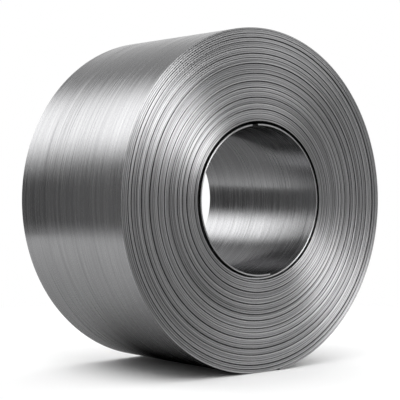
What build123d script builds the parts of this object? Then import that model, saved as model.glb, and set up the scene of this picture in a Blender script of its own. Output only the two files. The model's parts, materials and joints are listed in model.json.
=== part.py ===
from build123d import *
import math
import os

# Strip and winding, in millimetres
bore_diameter = 508.0
strip_thickness = 6.5
strip_width = 580.0
turn_air = 0.15
turns = 47

# Loose inner lap: air outside it, air under its free end, and where its gap stops closing
lap_gap = 10.0
free_end_clearance = 0.6
gap_end_width = 1.2
free_end_angle = -80.0

# Nick in the front edge of the loose lap
nick_width = 24.0
nick_depth = 30.0
nick_angle = 95.5

# Grooves on both ends, after the turns that the next one stands a little off
open_turns = (7, 13, 18, 21, 25, 30, 35, 38, 43)
groove_width = 3.2
groove_depth = 4.0

cut_overrun = 5.0

# Radii about the bore axis
turn_pitch = strip_thickness + turn_air
lap_radius = bore_diameter / 2
wound_radius = lap_radius + strip_thickness + lap_gap
outer_radius = wound_radius + turns * turn_pitch

# The strip's outer end lies under the coil: the coil rests on the tip of the end
# and on the turn that runs on beside it, one thickness nearer to the axis.
outer_end_swing = 2 * math.atan(math.sqrt(strip_thickness / (2 * outer_radius)))
outer_end_angle = math.degrees(outer_end_swing) - 90
axis_height = outer_radius * math.cos(outer_end_swing)


def polar(radius, angle):
    """A point of the front view, counterclockwise from the right, about the bore axis."""
    return Vector(radius, 0).rotate(Axis.Z, angle)


def outer_outline():
    """Outermost turn: a half turn of full radius, then one that starts a thickness lower."""
    rise = strip_thickness / 2
    low_centre = polar(-rise, outer_end_angle)
    high_half = CenterArc((0, 0), outer_radius, outer_end_angle, 180)
    low_half = CenterArc(low_centre, outer_radius - rise, outer_end_angle, -180)
    tip = Line(high_half @ 0, low_half @ 0)
    return [high_half, low_half, tip]


def bore_outline():
    """Bore, gap and loose lap as one line, wound clockwise from the lap's free end and back."""
    drift = (strip_thickness + lap_gap) / 2

    def turn_after_start(lap_face_radius, distance):
        """Angle from the start of the drift to where a drifting face lies this far from the axis."""
        cosine = (lap_face_radius**2 - drift**2 - distance**2) / (2 * drift * distance)
        return math.degrees(math.acos(cosine))

    drift_inside = lap_radius + drift
    drift_outside = drift_inside + strip_thickness
    gap_end_radius = wound_radius - gap_end_width
    free_end_turn = turn_after_start(drift_inside, lap_radius + strip_thickness + free_end_clearance)
    gap_end_turn = turn_after_start(drift_outside, gap_end_radius)

    start = free_end_angle + free_end_turn
    held_turn = 360 - free_end_turn
    drift_centre = polar(-drift, start)
    gap_end_angle = start - gap_end_turn
    gap_end_inside = polar(gap_end_radius, gap_end_angle)
    gap_end_swing = start - math.degrees(
        math.atan2(gap_end_inside.Y - drift_centre.Y, gap_end_inside.X - drift_centre.X)
    )

    lap_inside = CenterArc((0, 0), lap_radius, free_end_angle, -held_turn)
    lap_drift_inside = CenterArc(drift_centre, drift_inside, start, -180)
    wound_bore = CenterArc((0, 0), wound_radius, start - 180, -(180 + gap_end_turn))
    gap_end = Line(wound_bore @ 1, gap_end_inside)
    lap_drift_outside = CenterArc(drift_centre, drift_outside, start - gap_end_swing, gap_end_swing)
    lap_outside = CenterArc((0, 0), lap_radius + strip_thickness, start, held_turn)
    free_end = Line(lap_outside @ 1, lap_inside @ 0)
    return [
        lap_inside,
        lap_drift_inside,
        wound_bore,
        gap_end,
        lap_drift_outside,
        lap_outside,
        free_end,
    ]


def turn_groove(turn, side):
    """Ring with a V section, turned into one end where two turns part."""
    middle = wound_radius + turn * turn_pitch
    face = side * strip_width / 2
    outside = face + side * cut_overrun
    section = Polyline(
        (middle - groove_width / 2, outside),
        (middle - groove_width / 2, face),
        (middle, face - side * groove_depth),
        (middle + groove_width / 2, face),
        (middle + groove_width / 2, outside),
        close=True,
    )
    return revolve(make_face(section), Axis.Y)


def lap_nick():
    """Block that breaks the loose lap's front edge, from the bore to the middle of the gap."""
    reach = cut_overrun + strip_thickness + lap_gap / 2
    middle = lap_radius - cut_overrun + reach / 2
    place = Pos(*polar(middle, nick_angle)) * Rot(0, 0, nick_angle)
    outline = Plane.XZ.offset(strip_width / 2 - nick_depth) * place * Rectangle(reach, nick_width)
    return extrude(outline, nick_depth + cut_overrun)


def steel_coil():
    """The wound strip as one solid, lying on its outer end with its bore along Y."""
    section = make_face(outer_outline()) - make_face(bore_outline())
    coil = extrude(Plane.XZ * section, strip_width / 2, both=True)
    for side in (-1, 1):
        coil -= [turn_groove(turn, side) for turn in open_turns if turn < turns]
    coil -= lap_nick()
    left_reach = outer_radius - strip_thickness / 2 * (1 - math.sin(outer_end_swing))
    axis_offset = (left_reach - outer_radius) / 2
    return Pos(axis_offset, 0, axis_height) * coil


os.makedirs("parts", exist_ok=True)
export_step(steel_coil(), "parts/steel_coil.step")
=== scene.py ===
import json
import math

import bpy
import numpy as np
from mathutils import Matrix, Vector


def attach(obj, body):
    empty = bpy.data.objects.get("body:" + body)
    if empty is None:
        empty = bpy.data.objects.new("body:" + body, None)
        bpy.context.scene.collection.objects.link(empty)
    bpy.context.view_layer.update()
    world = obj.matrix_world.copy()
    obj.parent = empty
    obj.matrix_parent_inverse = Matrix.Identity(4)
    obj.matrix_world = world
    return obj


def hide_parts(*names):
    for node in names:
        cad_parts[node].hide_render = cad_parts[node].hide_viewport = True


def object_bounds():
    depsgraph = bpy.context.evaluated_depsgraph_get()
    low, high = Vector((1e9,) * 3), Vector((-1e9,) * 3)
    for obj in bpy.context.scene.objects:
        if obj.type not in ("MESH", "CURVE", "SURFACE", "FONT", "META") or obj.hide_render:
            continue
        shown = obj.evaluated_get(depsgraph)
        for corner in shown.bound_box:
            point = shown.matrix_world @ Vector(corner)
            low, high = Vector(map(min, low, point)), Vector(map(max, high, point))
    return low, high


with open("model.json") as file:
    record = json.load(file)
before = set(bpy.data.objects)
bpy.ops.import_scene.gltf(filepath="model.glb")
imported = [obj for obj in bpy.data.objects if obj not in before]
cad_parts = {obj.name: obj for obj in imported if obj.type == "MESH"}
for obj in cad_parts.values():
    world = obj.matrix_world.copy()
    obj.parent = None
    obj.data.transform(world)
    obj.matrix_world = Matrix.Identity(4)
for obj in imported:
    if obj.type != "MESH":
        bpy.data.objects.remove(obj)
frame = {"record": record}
cad_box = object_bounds()

MM = 0.001
TURN = 2 * math.pi

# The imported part: bore axis, clear bore, width and outer radius, in metres
bore = next(mount for mount in frame["record"]["mounts"] if mount["name"] == "bore")
axis_x, axis_y, axis_z = bore["pos_m"]
bore_radius = bore["dims"]["r_mm"] * MM
coil_width = bore["dims"]["length_mm"] * MM
outer_radius = cad_box[1].x - axis_x

# Strip: its thickness, the rounding of its slit edges and how far it wanders along the axis
strip_thickness = 5.5 * MM
corner_radius = 0.55 * MM
wander_reach = 1.2 * MM

# Winding, with angles clockwise from the right as seen from the front: the room that the loose lap
# takes with its gap, how far it leans, and how the bore is pressed out of round, eased and lifted
turns = 47
lap_room = 16.5 * MM
lap_lean = 2.0 * MM
bore_sag = 4.5 * MM
bore_ease = 1.8 * MM
bore_lift = 4.5 * MM
bore_drop = 1.5 * MM
free_end_angle = math.radians(80.0)
drift_start = math.radians(357.1)
outer_end_angle = math.radians(81.46)

# Turns that stand off the one inside them, with the air there as a share of a turn's pitch
open_turn_shares = {
    2: 0.30,
    5: 0.22,
    7: 0.48,
    10: 0.26,
    13: 0.50,
    16: 0.24,
    18: 0.44,
    21: 0.50,
    25: 0.36,
    27: 0.22,
    30: 0.48,
    33: 0.22,
    35: 0.50,
    38: 0.34,
    41: 0.26,
    43: 0.46,
    45: 0.30,
    47: 0.10,
}
opening_turns = 0.3

# Nick in the front edge of the loose lap, with the slope of its walls as a share of half its width
nick_angle = math.radians(264.5)
nick_width = 24.0 * MM
nick_depth = 30.0 * MM
nick_wall_share = 0.02

# Slow waves along the strip: angle gained in one turn, angle at the start, and weight
wander_waves = (
    (2.39, 0.0, 1.0),
    (0.217 * TURN, 1.3, 0.7),
    (0.45 * TURN, 0.0, 0.6),
)
line_shade_waves = (
    (0.41 * TURN, 0.0, 1.0),
    (0.273 * TURN, 2.0, 0.8),
)

# Painted shade across a slit edge, from one face to the other: the corners beside the lines between turns
# are painted dark
edge_shade_shares = (0.05, 0.3, 1.0, 0.95, 0.2, 0.05)
# Painted shade in the nick: its walls and recessed edge are darkened
cut_shade_share = 0.04
least_line_shade_share = 0.4
line_shade_mean_share = 0.5
line_shade_swing_share = 0.81

# Faces of the strip: streaks in a metre across and along it, with their detail
fine_streaks = (230.0, 3.0, 4.0)
broad_streaks = (100.0, 1.1, 3.0)
streak_roughness = 0.6
fine_share = 0.6
face_tones = ((0.22, 0.22, 0.225, 1.0), (0.38, 0.38, 0.385, 1.0))
face_tone_range = (0.3, 0.7)
face_roughness = (0.10, 0.36)
face_brushing = 0.8
face_bump_share = 0.15
face_bump_height = 0.4 * MM

# Gloss at a low angle: full on the outer turn, and weaker in the bore as painted shade for its dark
# inside
outer_glance_share = 1.0
bore_shade_glance_share = 0.3

# Edges of the strip: tones in one turn, and grain in a metre
edge_tone_noise = {"Scale": 1.37, "Detail": 0.5, "Roughness": 0.5}
edge_grain_noise = {"Scale": 90.0, "Detail": 5.0, "Roughness": 0.65}
tone_share = 0.88
edge_tones = ((0.245, 0.245, 0.249, 1.0), (0.415, 0.415, 0.42, 1.0))
edge_tone_range = (0.32, 0.68)
edge_roughness = (0.33, 0.43)
edge_brushing = 0.95
edge_bump_share = 0.1
edge_bump_height = 0.5 * MM

# Range that most of a noise lies in, and the turn that lays the brushing along the strip
noise_range = (0.3, 0.7)
brushing_turn_share = 0.25

# Mesh stations in one turn, and the turns that the outer piece covers
hidden_stations = 180
face_stations = 360
outer_piece_turns = 1.02

# Part of a texture map that the strip's two faces take, where they show and where they lie hidden,
# then the margin beside each turn and the part that the end caps take
shown_faces_share = 0.9
hidden_faces_share = 0.2
margin_share = 0.04
caps_share = 0.02

# Camera: it stands to the left of the coil's axis, just above level, framed on the photo's 400 pixels.
# Its sensor is in millimetres, and the centre of the front end lies this many outer radii to the right
# of it, up from it and ahead of it.
frame_pixels = 400
focal_pixels = 1194.8
sensor_width = 36.0
camera_turn = math.radians(39.64)
camera_dip = math.radians(0.68)
front_place_shares = (0.3532, -0.0086, 6.8915)

# Studio, in metres: a white room whose floor turns from shaded to plain white between two distances
floor_reach = 40.0
white_floor_reach = (0.7, 2.2)
fill_level = 1.6

# Curved screen along the left side, with angles in degrees up from level. Each part has a brightness
# at its foot, in the dark above it, in a bright band, near the top and at the upper end. The light of
# the foot fades out at tent_foot, and the band rises and falls between the angles given. Each column
# stands at a place along the coil's axis.
tent_radius = 1.6
tent_reach = (-21.0, 122.0)
tent_rows = 80
tent_foot = -12.0
tent_parts = {
    "front": dict(foot=0.80, dark=0.28, rise=(17, 40), bright=2.95, fall=(52, 80), top=0.40, end=0.8),
    "middle": dict(foot=0.65, dark=0.19, rise=(21, 42), bright=1.18, fall=(58, 80), top=0.38, end=0.8),
    "rear": dict(foot=0.18, dark=0.11, rise=(10, 41), bright=3.50, fall=(54, 82), top=0.38, end=1.0),
}
tent_columns = {
    -2.0: "front",
    1.46: "front",
    1.68: "middle",
    1.80: "middle",
    1.96: "rear",
    7.0: "rear",
}

# Painted shade of the floor, on a card that only metal mirrors: black under the coil, shaded behind it
# and dark at the screen's foot
sheet_height = 2.0 * MM
sheet_across = (-1.96, 1.0)
sheet_along = (-coil_width / 2, 6.0)
sheet_points = 100
black_reach = 0.2
shade_reach = 0.45
shade_power = 1.5
far_shade_reach = 0.85
far_shade_power = 2.2
shade_level = 0.38
shade_end = (0.15, 0.47)
dark_foot = -1.95
far_foot = 1.7
foot_slope_share = 1.35
foot_blend = 0.45
foot_level = 0.2

# Walls: brightness by height in front, and by place along the axis on the right and on the front sheet
wall_distance = 12.5
wall_reach = (-25.0, 12.5)
wall_levels = {
    0.0: 0.25,
    2.5: 0.40,
    6.0: 1.2,
    14.0: 1.3,
}
side_wall_height = 5.0
side_wall_levels = {
    -wall_distance: 0.25,
    -4.0: 0.30,
    -1.2: 1.0,
}
front_sheet_levels = {
    -wall_distance: 0.70,
    -4.0: 0.72,
    -0.6: 0.48,
}
side_window_reach = (-wall_distance, -1.2)
side_window_top = 12.0
side_window_level = 2.2

# Key card, by the sectors and tilts of the strip's edges that mirror it, and the arch that hides it
# from the outer turn
key_level = 7.5
key_distance = 12.0
key_sectors = (math.radians(206.8), math.radians(236.0))
key_tilts = (math.radians(4.0), math.radians(30.0))
key_points = 14
flag_level = 0.35
flag_reach_shares = (1.012, 1.75)
flag_setback = 5.0 * MM
flag_turn = math.radians(120.0)
flag_points = 90

# Worked out from the values above; a hair keeps rounding from tipping a whole turn
lap_drift = lap_room / 2
wound_radius = bore_radius + lap_room
wound_start = drift_start + math.pi
end_share = ((outer_end_angle - wound_start) / TURN) % 1
wound_turns = turns - 1 + end_share
outer_end = wound_start + wound_turns * TURN
half_turn = 0.5
hair = 1e-9
front_centre = Vector((axis_x, -coil_width / 2, axis_z))
view_ahead = Vector((math.sin(camera_turn) * math.cos(camera_dip),
                     math.cos(camera_turn) * math.cos(camera_dip), -math.sin(camera_dip)))


def off_centre(shift, radius, angle):
    """Distance from the axis to a circle whose centre is shifted away from where angle is zero."""
    return np.sqrt(radius**2 - (shift * np.sin(angle)) ** 2) - shift * np.cos(angle)


def sag(angle):
    """How far the weight of the coil has pressed its bore out of round: up, and wider than it is high."""
    return bore_ease + bore_sag * np.cos(2 * angle) - bore_lift * np.sin(angle)


def smooth(value, start, end):
    """From 0 at the start to 1 at the end, level at both."""
    share = np.clip((value - start) / (end - start), 0, 1)
    return share * share * (3 - 2 * share)


def build_up(turn):
    """Turns wound so far, with the air of the open turns counted in."""
    total = np.asarray(turn, dtype=float)
    for open_turn, air_share in open_turn_shares.items():
        total = total + air_share * smooth(turn, open_turn, open_turn + opening_turns)
    return total


def slot_share(turn, around, layers):
    """Where the outer face of a turn lies in the wound ring, from 0 inside to 1 outside."""
    start = build_up(around)
    return (build_up(turn + 1) - start) / (build_up(around + layers) - start)


outer_step = (outer_radius - wound_radius) * (1 - slot_share(wound_turns - 1, end_share, turns))


def ring_outside(around):
    """Outermost face: it starts one turn lower beside the outer end and rises over half a turn."""
    after_end = 1 - (end_share - around + hair) % 1
    rise = outer_step / 2
    rising = off_centre(rise, outer_radius - rise, after_end * TURN)
    return np.where(after_end < half_turn, rising, outer_radius)


inner_step = (ring_outside(0) - wound_radius) * slot_share(0, 0, turns)


def ring_inside(around):
    """Innermost wound face: clear of the lap, then lying on it where the lap runs into the turns."""
    angle = wound_start + around * TURN
    under = (around - half_turn) * TURN
    lap_outside = off_centre(lap_drift, bore_radius + lap_drift + strip_thickness, under)
    lying = np.maximum(wound_radius, lap_outside + inner_step - strip_thickness)
    return np.where(around > half_turn, lying, wound_radius) + sag(angle) + bore_drop * np.sin(angle)


def strip_inside(angle):
    """Distance from the axis to the strip's inner face, from its free inner end to its outer end."""
    turn = (angle - wound_start) / TURN
    around = turn % 1
    layers = np.floor(wound_turns - around + hair) + 1
    inside = ring_inside(around)
    slot = slot_share(np.maximum(turn, 0), around, layers)
    wound = inside + (ring_outside(around) - inside) * slot - strip_thickness
    drifting = off_centre(lap_drift, bore_radius + lap_drift, angle - drift_start)
    held = np.clip((angle - drift_start) / math.pi, 0, 1)
    lap = np.where(angle < drift_start, bore_radius, drifting) + sag(angle)
    lap = lap + lap_lean * np.cos(angle) * (1 - held) + bore_drop * np.sin(angle) * held
    return np.where(turn < 0, lap, wound)


def slow_waves(turn, waves):
    """Sum of slow waves along the strip, from -1 to 1."""
    total = sum(weight * np.sin(gain * turn + start) for gain, start, weight in waves)
    return total / sum(weight for gain, start, weight in waves)


def edges_at(angles):
    """Front and back edge of the full strip along the axis: neighbouring turns aren't quite flush."""
    half = coil_width / 2 - wander_reach
    shift = wander_reach * slow_waves(angles / TURN, wander_waves)
    return shift - half, shift + half


def line_shade(turn):
    """How dark the painted shade in the line outside a turn is, up to 1: neighbouring lines differ."""
    more = np.clip(line_shade_mean_share + line_shade_swing_share * slow_waves(turn, line_shade_waves), 0, 1)
    return least_line_shade_share + (1 - least_line_shade_share) * more


def stations(first, last, in_one_turn):
    """Angles along a stretch of the strip, on rays that all turns share."""
    step = TURN / in_one_turn
    whole = np.arange(math.floor(first / step) + 1, math.ceil(last / step)) * step
    return np.concatenate(([first], whole, [last]))


def strip_profile():
    """Section of the strip: place across its thickness, place from either edge, normal, back or front."""
    slant = math.sqrt(1 / 2)
    corner = corner_radius * (1 - slant)
    side = [
        (0, corner_radius, -1, 0),
        (corner, corner, -slant, -slant),
        (corner_radius, 0, 0, -1),
        (strip_thickness - corner_radius, 0, 0, -1),
        (strip_thickness - corner, corner, slant, -slant),
        (strip_thickness, corner_radius, 1, 0),
    ]
    front = [(across, inset, out, along, 0) for across, inset, out, along in side]
    back = [(across, -inset, out, -along, 1) for across, inset, out, along in reversed(side)]
    return np.array(front + back, dtype=float)


def face_columns(points):
    """The two stretches of the strip's section that are its faces: the rest are edges."""
    return (points // 2 - 1, points - 1)


def strip_points(angles, front, back):
    """Places and normals of the strip's section at each station."""
    across, inset, out, along, is_back = strip_profile().T
    radius = strip_inside(angles)[:, None] + across
    depth = np.where(is_back > 0, back[:, None], front[:, None]) + inset
    ray = np.stack([np.cos(angles), np.zeros(len(angles)), -np.sin(angles)], axis=1)
    places = radius[:, :, None] * ray[:, None, :]
    places += np.array([axis_x, axis_y, axis_z])
    places[:, :, 1] += depth
    normals = out[:, None] * ray[:, None, :] + along[:, None] * np.array([0.0, 1.0, 0.0])
    return places, normals


def strip_mesh(name, angles, places, normals, materials):
    """A closed mesh round the strip's sections: faces in the first material, edges in the second."""
    rows, points = places.shape[:2]
    row, column = np.meshgrid(np.arange(rows - 1), np.arange(points), indexing="ij")
    after = (column + 1) % points
    corners = np.stack([row * points + column, (row + 1) * points + column,
                        (row + 1) * points + after, row * points + after], axis=-1)
    quads = corners.reshape(-1, 4)
    first_cap = list(range(points))
    last_cap = [(rows - 1) * points + point for point in reversed(range(points))]

    mesh = bpy.data.meshes.new(name)
    mesh.from_pydata(places.reshape(-1, 3).tolist(), [], quads.tolist() + [first_cap, last_cap])
    heading = np.stack([-np.sin(angles), np.zeros(rows), -np.cos(angles)], axis=1)
    corner_normals = np.concatenate([
        normals.reshape(-1, 3)[quads.ravel()],
        np.tile(-heading[0], (points, 1)),
        np.tile(heading[-1], (points, 1)),
    ])
    mesh.polygons.foreach_set("use_smooth", [True] * len(mesh.polygons))
    mesh.normals_split_custom_set(corner_normals.tolist())

    for material in materials:
        mesh.materials.append(material)
    is_edge = ~np.isin(column.ravel(), face_columns(points))
    mesh.polygons.foreach_set("material_index", np.append(is_edge, [True, True]).astype(int))
    return mesh


def add_values(mesh, name, values):
    """A named number for each point of a mesh, which its material reads."""
    attribute = mesh.attributes.new(name, "FLOAT", "POINT")
    attribute.data.foreach_set("value", values)


def mark_strip(mesh, angles, points, cut):
    """Turn count along the strip, and the painted shade on its edges; cut names the stations painted dark
    in the nick.
    """
    turn = angles / TURN
    add_values(mesh, "winding", np.repeat(turn, points))
    half_edge = len(edge_shade_shares) // 2
    # Painted shade: the corners next to each line between turns are darkened, more in some lines than in
    # others
    line_darkness = np.stack([line_shade(turn - 1)] * half_edge + [line_shade(turn)] * half_edge, axis=1)
    after_shade = 1 - line_darkness * (1 - np.array(edge_shade_shares))
    after_shade = np.concatenate([after_shade, after_shade[:, ::-1]], axis=1)
    # Painted shade in the nick's walls and recessed edge
    after_shade[list(cut), : points // 2] = cut_shade_share
    add_values(mesh, "shade", after_shade.ravel())


def unroll(mesh, angles, places, faces_share):
    """Texture map: the strip cut into single turns laid side by side, with its end caps below them."""
    points = places.shape[1]
    turn = (angles - angles[0]) / TURN
    bands = math.ceil(turn[-1] - hair)
    step = np.linalg.norm(np.diff(places[0], axis=0, append=places[0][:1]), axis=1)
    is_face = np.isin(np.arange(points), face_columns(points))
    step[is_face] *= faces_share / step[is_face].sum()
    step[~is_face] *= (1 - faces_share) / step[~is_face].sum()
    along_profile = np.concatenate(([0], np.cumsum(step)))
    in_band = margin_share + (1 - 2 * margin_share) * along_profile

    band = np.floor((turn[:-1] + turn[1:]) / 2)[:, None]
    low = (band + in_band[:-1]) / bands
    high = (band + in_band[1:]) / bands
    left = np.broadcast_to(turn[:-1, None] - band, low.shape)
    right = np.broadcast_to(turn[1:, None] - band, low.shape)
    corners = np.stack([left, low, right, low, right, high, left, high], axis=-1).reshape(-1, 2)
    corners[:, 1] = caps_share + (1 - caps_share) * corners[:, 1]

    wheel = np.arange(points) / points * TURN
    cap = np.stack([np.cos(wheel), np.sin(wheel)], axis=1) * caps_share / 3
    half_cap = caps_share / 2
    caps = np.concatenate([cap + half_cap, cap[::-1] + np.array([3 * half_cap, half_cap])])
    layer = mesh.uv_layers.new(name="OFBake")
    layer.data.foreach_set("uv", np.concatenate([corners, caps]).ravel())


def strip_piece(name, angles, front, back, materials, faces_share, cut=()):
    """A stretch of the strip, between its front and back edge; cut names the stations painted dark in the
    nick.
    """
    places, normals = strip_points(angles, front, back)
    mesh = strip_mesh(name, angles, places, normals, materials)
    mark_strip(mesh, angles, places.shape[1], cut)
    unroll(mesh, angles, places, faces_share)
    piece = bpy.data.objects.new(name, mesh)
    bpy.context.collection.objects.link(piece)
    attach(piece, "root")
    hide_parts("steel_coil")


def add_node(tree, kind, inputs=None, **settings):
    """A shader node, with its settings and its inputs: a number or colour, or a socket to link."""
    made = tree.nodes.new(kind)
    for key, value in settings.items():
        setattr(made, key, value)
    for key, value in (inputs or {}).items():
        if isinstance(value, bpy.types.NodeSocket):
            tree.links.new(value, made.inputs[key])
        else:
            made.inputs[key].default_value = value
    return made


def new_material(name):
    """A node material, with its tree and shader."""
    material = bpy.data.materials.new(name)
    material.use_nodes = True
    return material, material.node_tree, material.node_tree.nodes["Principled BSDF"]


def math_node(tree, operation, first, second):
    """Two values joined by one operation."""
    return add_node(tree, "ShaderNodeMath", {0: first, 1: second}, operation=operation).outputs[0]


def mixed(tree, first, second, first_share):
    """Two values added up, each by its share."""
    return math_node(tree, "ADD", math_node(tree, "MULTIPLY", first, first_share),
                     math_node(tree, "MULTIPLY", second, 1 - first_share))


def spread(tree, value, to_range, from_range=noise_range):
    """A value brought from its usual range into another."""
    ends = {"From Min": from_range[0], "From Max": from_range[1],
            "To Min": to_range[0], "To Max": to_range[1]}
    return add_node(tree, "ShaderNodeMapRange", {"Value": value, **ends}).outputs["Result"]


def toned(tree, value, tones, value_range):
    """A colour between two tones, for a value between the ends of a range."""
    ramp = add_node(tree, "ShaderNodeValToRGB", {"Fac": value})
    for stop, position, tone in zip(ramp.color_ramp.elements, value_range, tones):
        stop.position = position
        stop.color = tone
    return ramp.outputs["Color"]


def streaks(tree, across, along, detail):
    """Noise drawn out along the strip: across and along are features in one metre."""
    place = add_node(tree, "ShaderNodeTexCoord").outputs["Object"]
    stretched = add_node(tree, "ShaderNodeMapping", {"Vector": place, "Scale": (along, across, along)})
    look = {"Scale": 1.0, "Detail": detail, "Roughness": streak_roughness}
    return add_node(tree, "ShaderNodeTexNoise", {"Vector": stretched.outputs[0], **look}).outputs["Fac"]


def brush_shader(tree, shader, brushing):
    """Bare metal brushed along the strip, so that its highlights spread across the brushing."""
    tangent = add_node(tree, "ShaderNodeTangent", direction_type="RADIAL", axis="Y")
    tree.links.new(tangent.outputs[0], shader.inputs["Tangent"])
    shader.inputs["Metallic"].default_value = 1.0
    shader.inputs["Anisotropic"].default_value = brushing
    shader.inputs["Anisotropic Rotation"].default_value = brushing_turn_share


def add_bump(tree, shader, height, share, reach):
    """Fine unevenness of a surface, reach high at most."""
    bump = add_node(tree, "ShaderNodeBump", {"Height": height, "Strength": share, "Distance": reach})
    tree.links.new(bump.outputs[0], shader.inputs["Normal"])


def rolled_face(name, glance_share):
    """Strip faces: grey steel brushed along the strip; glance_share is its gloss at a low angle."""
    material, tree, shader = new_material(name)
    brush_shader(tree, shader, face_brushing)
    shader.inputs["Specular Tint"].default_value = (glance_share, glance_share, glance_share, 1.0)
    fine = streaks(tree, *fine_streaks)
    both = mixed(tree, fine, streaks(tree, *broad_streaks), fine_share)
    tree.links.new(toned(tree, both, face_tones, face_tone_range), shader.inputs["Base Color"])
    tree.links.new(spread(tree, fine, face_roughness), shader.inputs["Roughness"])
    add_bump(tree, shader, fine, face_bump_share, face_bump_height)
    return material


def slit_edge():
    """Strip edges: each turn has a tone of its own, with finer lines along it."""
    material, tree, shader = new_material("slit_edge")
    brush_shader(tree, shader, edge_brushing)
    winding = add_node(tree, "ShaderNodeAttribute", attribute_name="winding").outputs["Fac"]
    tone = add_node(tree, "ShaderNodeTexNoise", {"W": winding, **edge_tone_noise}, noise_dimensions="1D")
    place = add_node(tree, "ShaderNodeTexCoord").outputs["Object"]
    grain = add_node(tree, "ShaderNodeTexNoise", {"Vector": place, **edge_grain_noise}).outputs["Fac"]
    both = mixed(tree, tone.outputs["Fac"], grain, tone_share)
    colour = toned(tree, both, edge_tones, edge_tone_range)
    # The shade attribute is painted shade: it darkens the colour in the corners between turns and in the
    # nick
    shade = add_node(tree, "ShaderNodeAttribute", attribute_name="shade").outputs["Fac"]
    shaded = add_node(tree, "ShaderNodeVectorMath", {0: colour, "Scale": shade}, operation="SCALE")
    tree.links.new(shaded.outputs[0], shader.inputs["Base Color"])
    tree.links.new(spread(tree, both, edge_roughness), shader.inputs["Roughness"])
    add_bump(tree, shader, grain, edge_bump_share, edge_bump_height)
    return material


def make_inner_turns(materials, last):
    """The loose lap and the first wound turn, with the nick in the lap's front edge."""
    angles = stations(free_end_angle, last, face_stations)
    half_nick = nick_width / 2 / bore_radius
    wall = nick_wall_share * half_nick
    nick_edges = [nick_angle + side * (half_nick + step * wall) for side in (-1, 1) for step in range(3)]
    angles = np.unique(np.concatenate([angles, nick_edges]))
    walls_from_nick = np.round((np.abs(angles - nick_angle) - half_nick) / wall)
    front, back = edges_at(angles)
    front = front + np.where(walls_from_nick <= 0, nick_depth, 0)
    # Stations in and beside the nick, which get painted shade on their front edge
    nick_shaded = np.flatnonzero(walls_from_nick <= 1)
    strip_piece("inner_turns", angles, front, back, materials, shown_faces_share, nick_shaded)


def make_coil():
    """The wound strip in three stretches: inner turns, turns that only show edges, and the outer turn."""
    edge = slit_edge()
    # The bore's copy of the face material has weaker gloss at a low angle: painted shade for the bore's
    # dark inside
    bore_materials = (rolled_face("shaded_bore_face", bore_shade_glance_share), edge)
    materials = (rolled_face("outer_face", outer_glance_share), edge)
    first_wound_end = wound_start + TURN
    last_turn_start = outer_end - outer_piece_turns * TURN

    make_inner_turns(bore_materials, first_wound_end)
    middle = stations(first_wound_end, last_turn_start, hidden_stations)
    strip_piece("middle_turns", middle, *edges_at(middle), materials, hidden_faces_share)
    outer = stations(last_turn_start, outer_end, face_stations)
    strip_piece("outer_turn", outer, *edges_at(outer), materials, shown_faces_share)


def glow_material(name):
    """Even light from a card, as strong as the card's own level at each point."""
    material = bpy.data.materials.new(name)
    material.use_nodes = True
    tree = material.node_tree
    tree.nodes.clear()
    level = add_node(tree, "ShaderNodeAttribute", attribute_name="level").outputs["Fac"]
    glow = add_node(tree, "ShaderNodeEmission", {"Strength": level})
    add_node(tree, "ShaderNodeOutputMaterial", {"Surface": glow.outputs[0]})
    return material


def stage_mesh(name, places, faces, material):
    """A mesh that belongs to the studio and not to the coil."""
    mesh = bpy.data.meshes.new(name)
    mesh.from_pydata(places, [], faces)
    mesh.materials.append(material)
    made = bpy.data.objects.new(name, mesh)
    bpy.context.collection.objects.link(made)
    return made


def make_screen(name, columns, levels):
    """A lit screen through columns of points, with a brightness for each point."""
    rows = len(columns[0])
    starts = [column * rows + row for column in range(len(columns) - 1) for row in range(rows - 1)]
    faces = [(first, first + 1, first + rows + 1, first + rows) for first in starts]
    places = [place for column in columns for place in column]
    screen = stage_mesh(name, places, faces, glow_material(name))
    add_values(screen.data, "level", [value for column in levels for value in column])
    screen.visible_camera = False
    return screen


def make_card(name, columns, levels):
    """A screen that lights nothing by itself: it is only what the bare metal mirrors."""
    card = make_screen(name, columns, levels)
    card.visible_diffuse = False
    card.visible_shadow = False
    card.visible_transmission = False


def make_walls():
    """Grey wall and sheet in front of the coil, and a wall on the right with a window over it."""
    wall = [[(across, -wall_distance, up) for up in wall_levels] for across in wall_reach]
    make_screen("front_wall", wall, [wall_levels.values()] * 2)

    right = wall_reach[1]
    side = [[(right, along, up) for along in side_wall_levels] for up in (0, side_wall_height)]
    make_card("side_wall", side, [side_wall_levels.values()] * 2)

    window_heights = (side_wall_height, side_window_top)
    window = [[(right, along, up) for along in side_window_reach] for up in window_heights]
    make_card("side_window", window, [[side_window_level] * 2] * 2)

    sheet = [[(across, along, sheet_height) for along in front_sheet_levels] for across in wall_reach]
    make_card("front_sheet", sheet, [front_sheet_levels.values()] * 2)


def make_key():
    """Long curved card: where the strip's edges run across one of its sectors, their grain mirrors it."""
    edges = []
    for sector in key_sectors:
        lean = Vector((math.cos(sector), 0, -math.sin(sector)))
        edge = []
        for tilt in np.linspace(*key_tilts, key_points):
            face = lean * math.sin(tilt) - Vector((0, math.cos(tilt), 0))
            edge.append(tuple(front_centre + view_ahead.reflect(face) * key_distance))
        edges.append(edge)
    make_card("key_card", edges, [[key_level] * key_points] * 2)


def make_flag():
    """Arch over the front end that keeps the key's glare off the outer turn, seen from behind."""
    place = axis_y - coil_width / 2 + flag_setback
    edges = []
    for share in flag_reach_shares:
        radius = share * outer_radius
        edges.append([(axis_x + radius * math.cos(angle), place, axis_z + radius * math.sin(angle))
                      for angle in np.linspace(0, flag_turn, flag_points)])
    make_card("key_flag", edges, [[flag_level] * flag_points] * 2)


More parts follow.
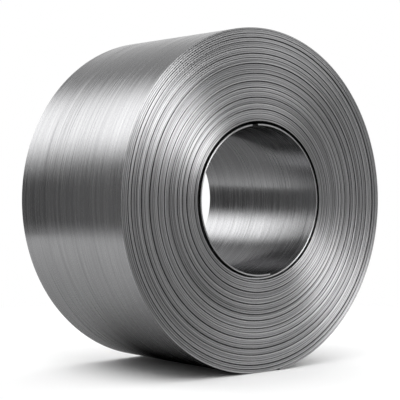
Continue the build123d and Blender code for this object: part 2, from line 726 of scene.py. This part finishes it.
def tent_level(angles, foot, dark, rise, bright, fall, top, end):
    """Brightness up the curved screen: light at its foot, then dark, a bright band and a darker top."""
    lowest, highest = tent_reach
    level = dark + (foot - dark) * smooth(angles, tent_foot, lowest)
    level = level + (bright - dark) * smooth(angles, *rise) - (bright - top) * smooth(angles, *fall)
    return level + (end - top) * np.clip((angles - fall[1]) / (highest - fall[1]), 0, 1)


def make_tent():
    """A curved screen along the coil's left side, dark near the floor and bright higher up."""
    angles = np.linspace(*tent_reach, tent_rows)
    across = axis_x - tent_radius * np.cos(np.radians(angles))
    up = axis_z + tent_radius * np.sin(np.radians(angles))
    columns = [[(x, along, z) for x, z in zip(across, up)] for along in tent_columns]
    levels = [tent_level(angles, **tent_parts[part]) for part in tent_columns.values()]
    make_screen("studio_tent", columns, levels)


def make_painted_floor_shade():
    """Painted floor shade that only metal mirrors: as dark as the floor's shade, and dark at the screen's
    foot.
    """
    across, along = np.meshgrid(np.linspace(*sheet_across, sheet_points),
                                np.linspace(*sheet_along, sheet_points), indexing="ij")
    away = np.abs(across - axis_x)
    under = 1 - np.exp(-((np.maximum(away - black_reach, 0) / shade_reach) ** shade_power))
    behind = 1 - (1 - shade_level) * np.exp(-((away / far_shade_reach) ** far_shade_power))
    past_end = np.clip((along - shade_end[0]) / (shade_end[1] - shade_end[0]), 0, 1)
    shaded = under + past_end * (behind - under)
    foot_edge = dark_foot + foot_slope_share * np.maximum(along - far_foot, 0)
    foot = np.clip((across - foot_edge) / foot_blend, 0, 1)
    levels = foot_level + foot * (shaded - foot_level)
    places = np.stack([across, along, np.full(across.shape, sheet_height)], axis=-1)
    make_card("painted_floor_shade", places.tolist(), levels.tolist())


def make_floor():
    """Plain white floor that takes the coil's shade near it."""
    material, tree, shader = new_material("studio_floor")
    shader.inputs["Base Color"].default_value = (1.0, 1.0, 1.0, 1.0)
    shader.inputs["Roughness"].default_value = 1.0
    shader.inputs["Specular IOR Level"].default_value = 0.0
    path = add_node(tree, "ShaderNodeLightPath")
    seen = math_node(tree, "ADD", path.outputs["Is Camera Ray"], path.outputs["Is Glossy Ray"])
    place = add_node(tree, "ShaderNodeNewGeometry").outputs["Position"]
    away = add_node(tree, "ShaderNodeVectorMath", {0: place}, operation="LENGTH").outputs["Value"]
    white = math_node(tree, "MULTIPLY", seen, spread(tree, away, (0.0, 1.0), white_floor_reach))
    glow = add_node(tree, "ShaderNodeEmission", {"Strength": 1.0})
    blend = add_node(tree, "ShaderNodeMixShader", {0: white, 1: shader.outputs[0], 2: glow.outputs[0]})
    tree.links.new(blend.outputs[0], tree.nodes["Material Output"].inputs["Surface"])
    sides = ((-1, -1), (1, -1), (1, 1), (-1, 1))
    corners = [(across * floor_reach, along * floor_reach, 0) for across, along in sides]
    stage_mesh("studio_floor", corners, [(0, 1, 2, 3)], material)


def make_world():
    """White all round to the eye and in reflections, with a stronger fill light on the floor."""
    world = bpy.data.worlds.new("studio_world")
    world.use_nodes = True
    tree = world.node_tree
    path = add_node(tree, "ShaderNodeLightPath")
    seen = math_node(tree, "ADD", path.outputs["Is Camera Ray"], path.outputs["Is Glossy Ray"])
    seen = math_node(tree, "ADD", seen, path.outputs["Is Transmission Ray"])
    background = tree.nodes["Background"]
    background.inputs["Color"].default_value = (1.0, 1.0, 1.0, 1.0)
    tree.links.new(spread(tree, seen, (fill_level, 1.0), (0.0, 1.0)), background.inputs["Strength"])
    bpy.context.scene.world = world


def make_camera():
    """Camera at the photo's angle."""
    data = bpy.data.cameras.new("photo_camera")
    data.sensor_width = sensor_width
    data.lens = sensor_width * focal_pixels / frame_pixels
    right = Vector((math.cos(camera_turn), -math.sin(camera_turn), 0))
    up = right.cross(view_ahead)
    place = front_centre.copy()
    for share, direction in zip(front_place_shares, (right, up, view_ahead)):
        place -= share * outer_radius * direction
    camera = bpy.data.objects.new("photo_camera", data)
    turned = Matrix((right, up, -view_ahead)).transposed().to_4x4()
    camera.matrix_world = Matrix.Translation(place) @ turned
    bpy.context.collection.objects.link(camera)
    bpy.context.scene.camera = camera


make_coil()
make_floor()
make_world()
make_tent()
make_painted_floor_shade()
make_walls()
make_key()
make_flag()
make_camera()
bpy.context.scene.view_settings.view_transform = "Standard"

bpy.context.view_layer.update()
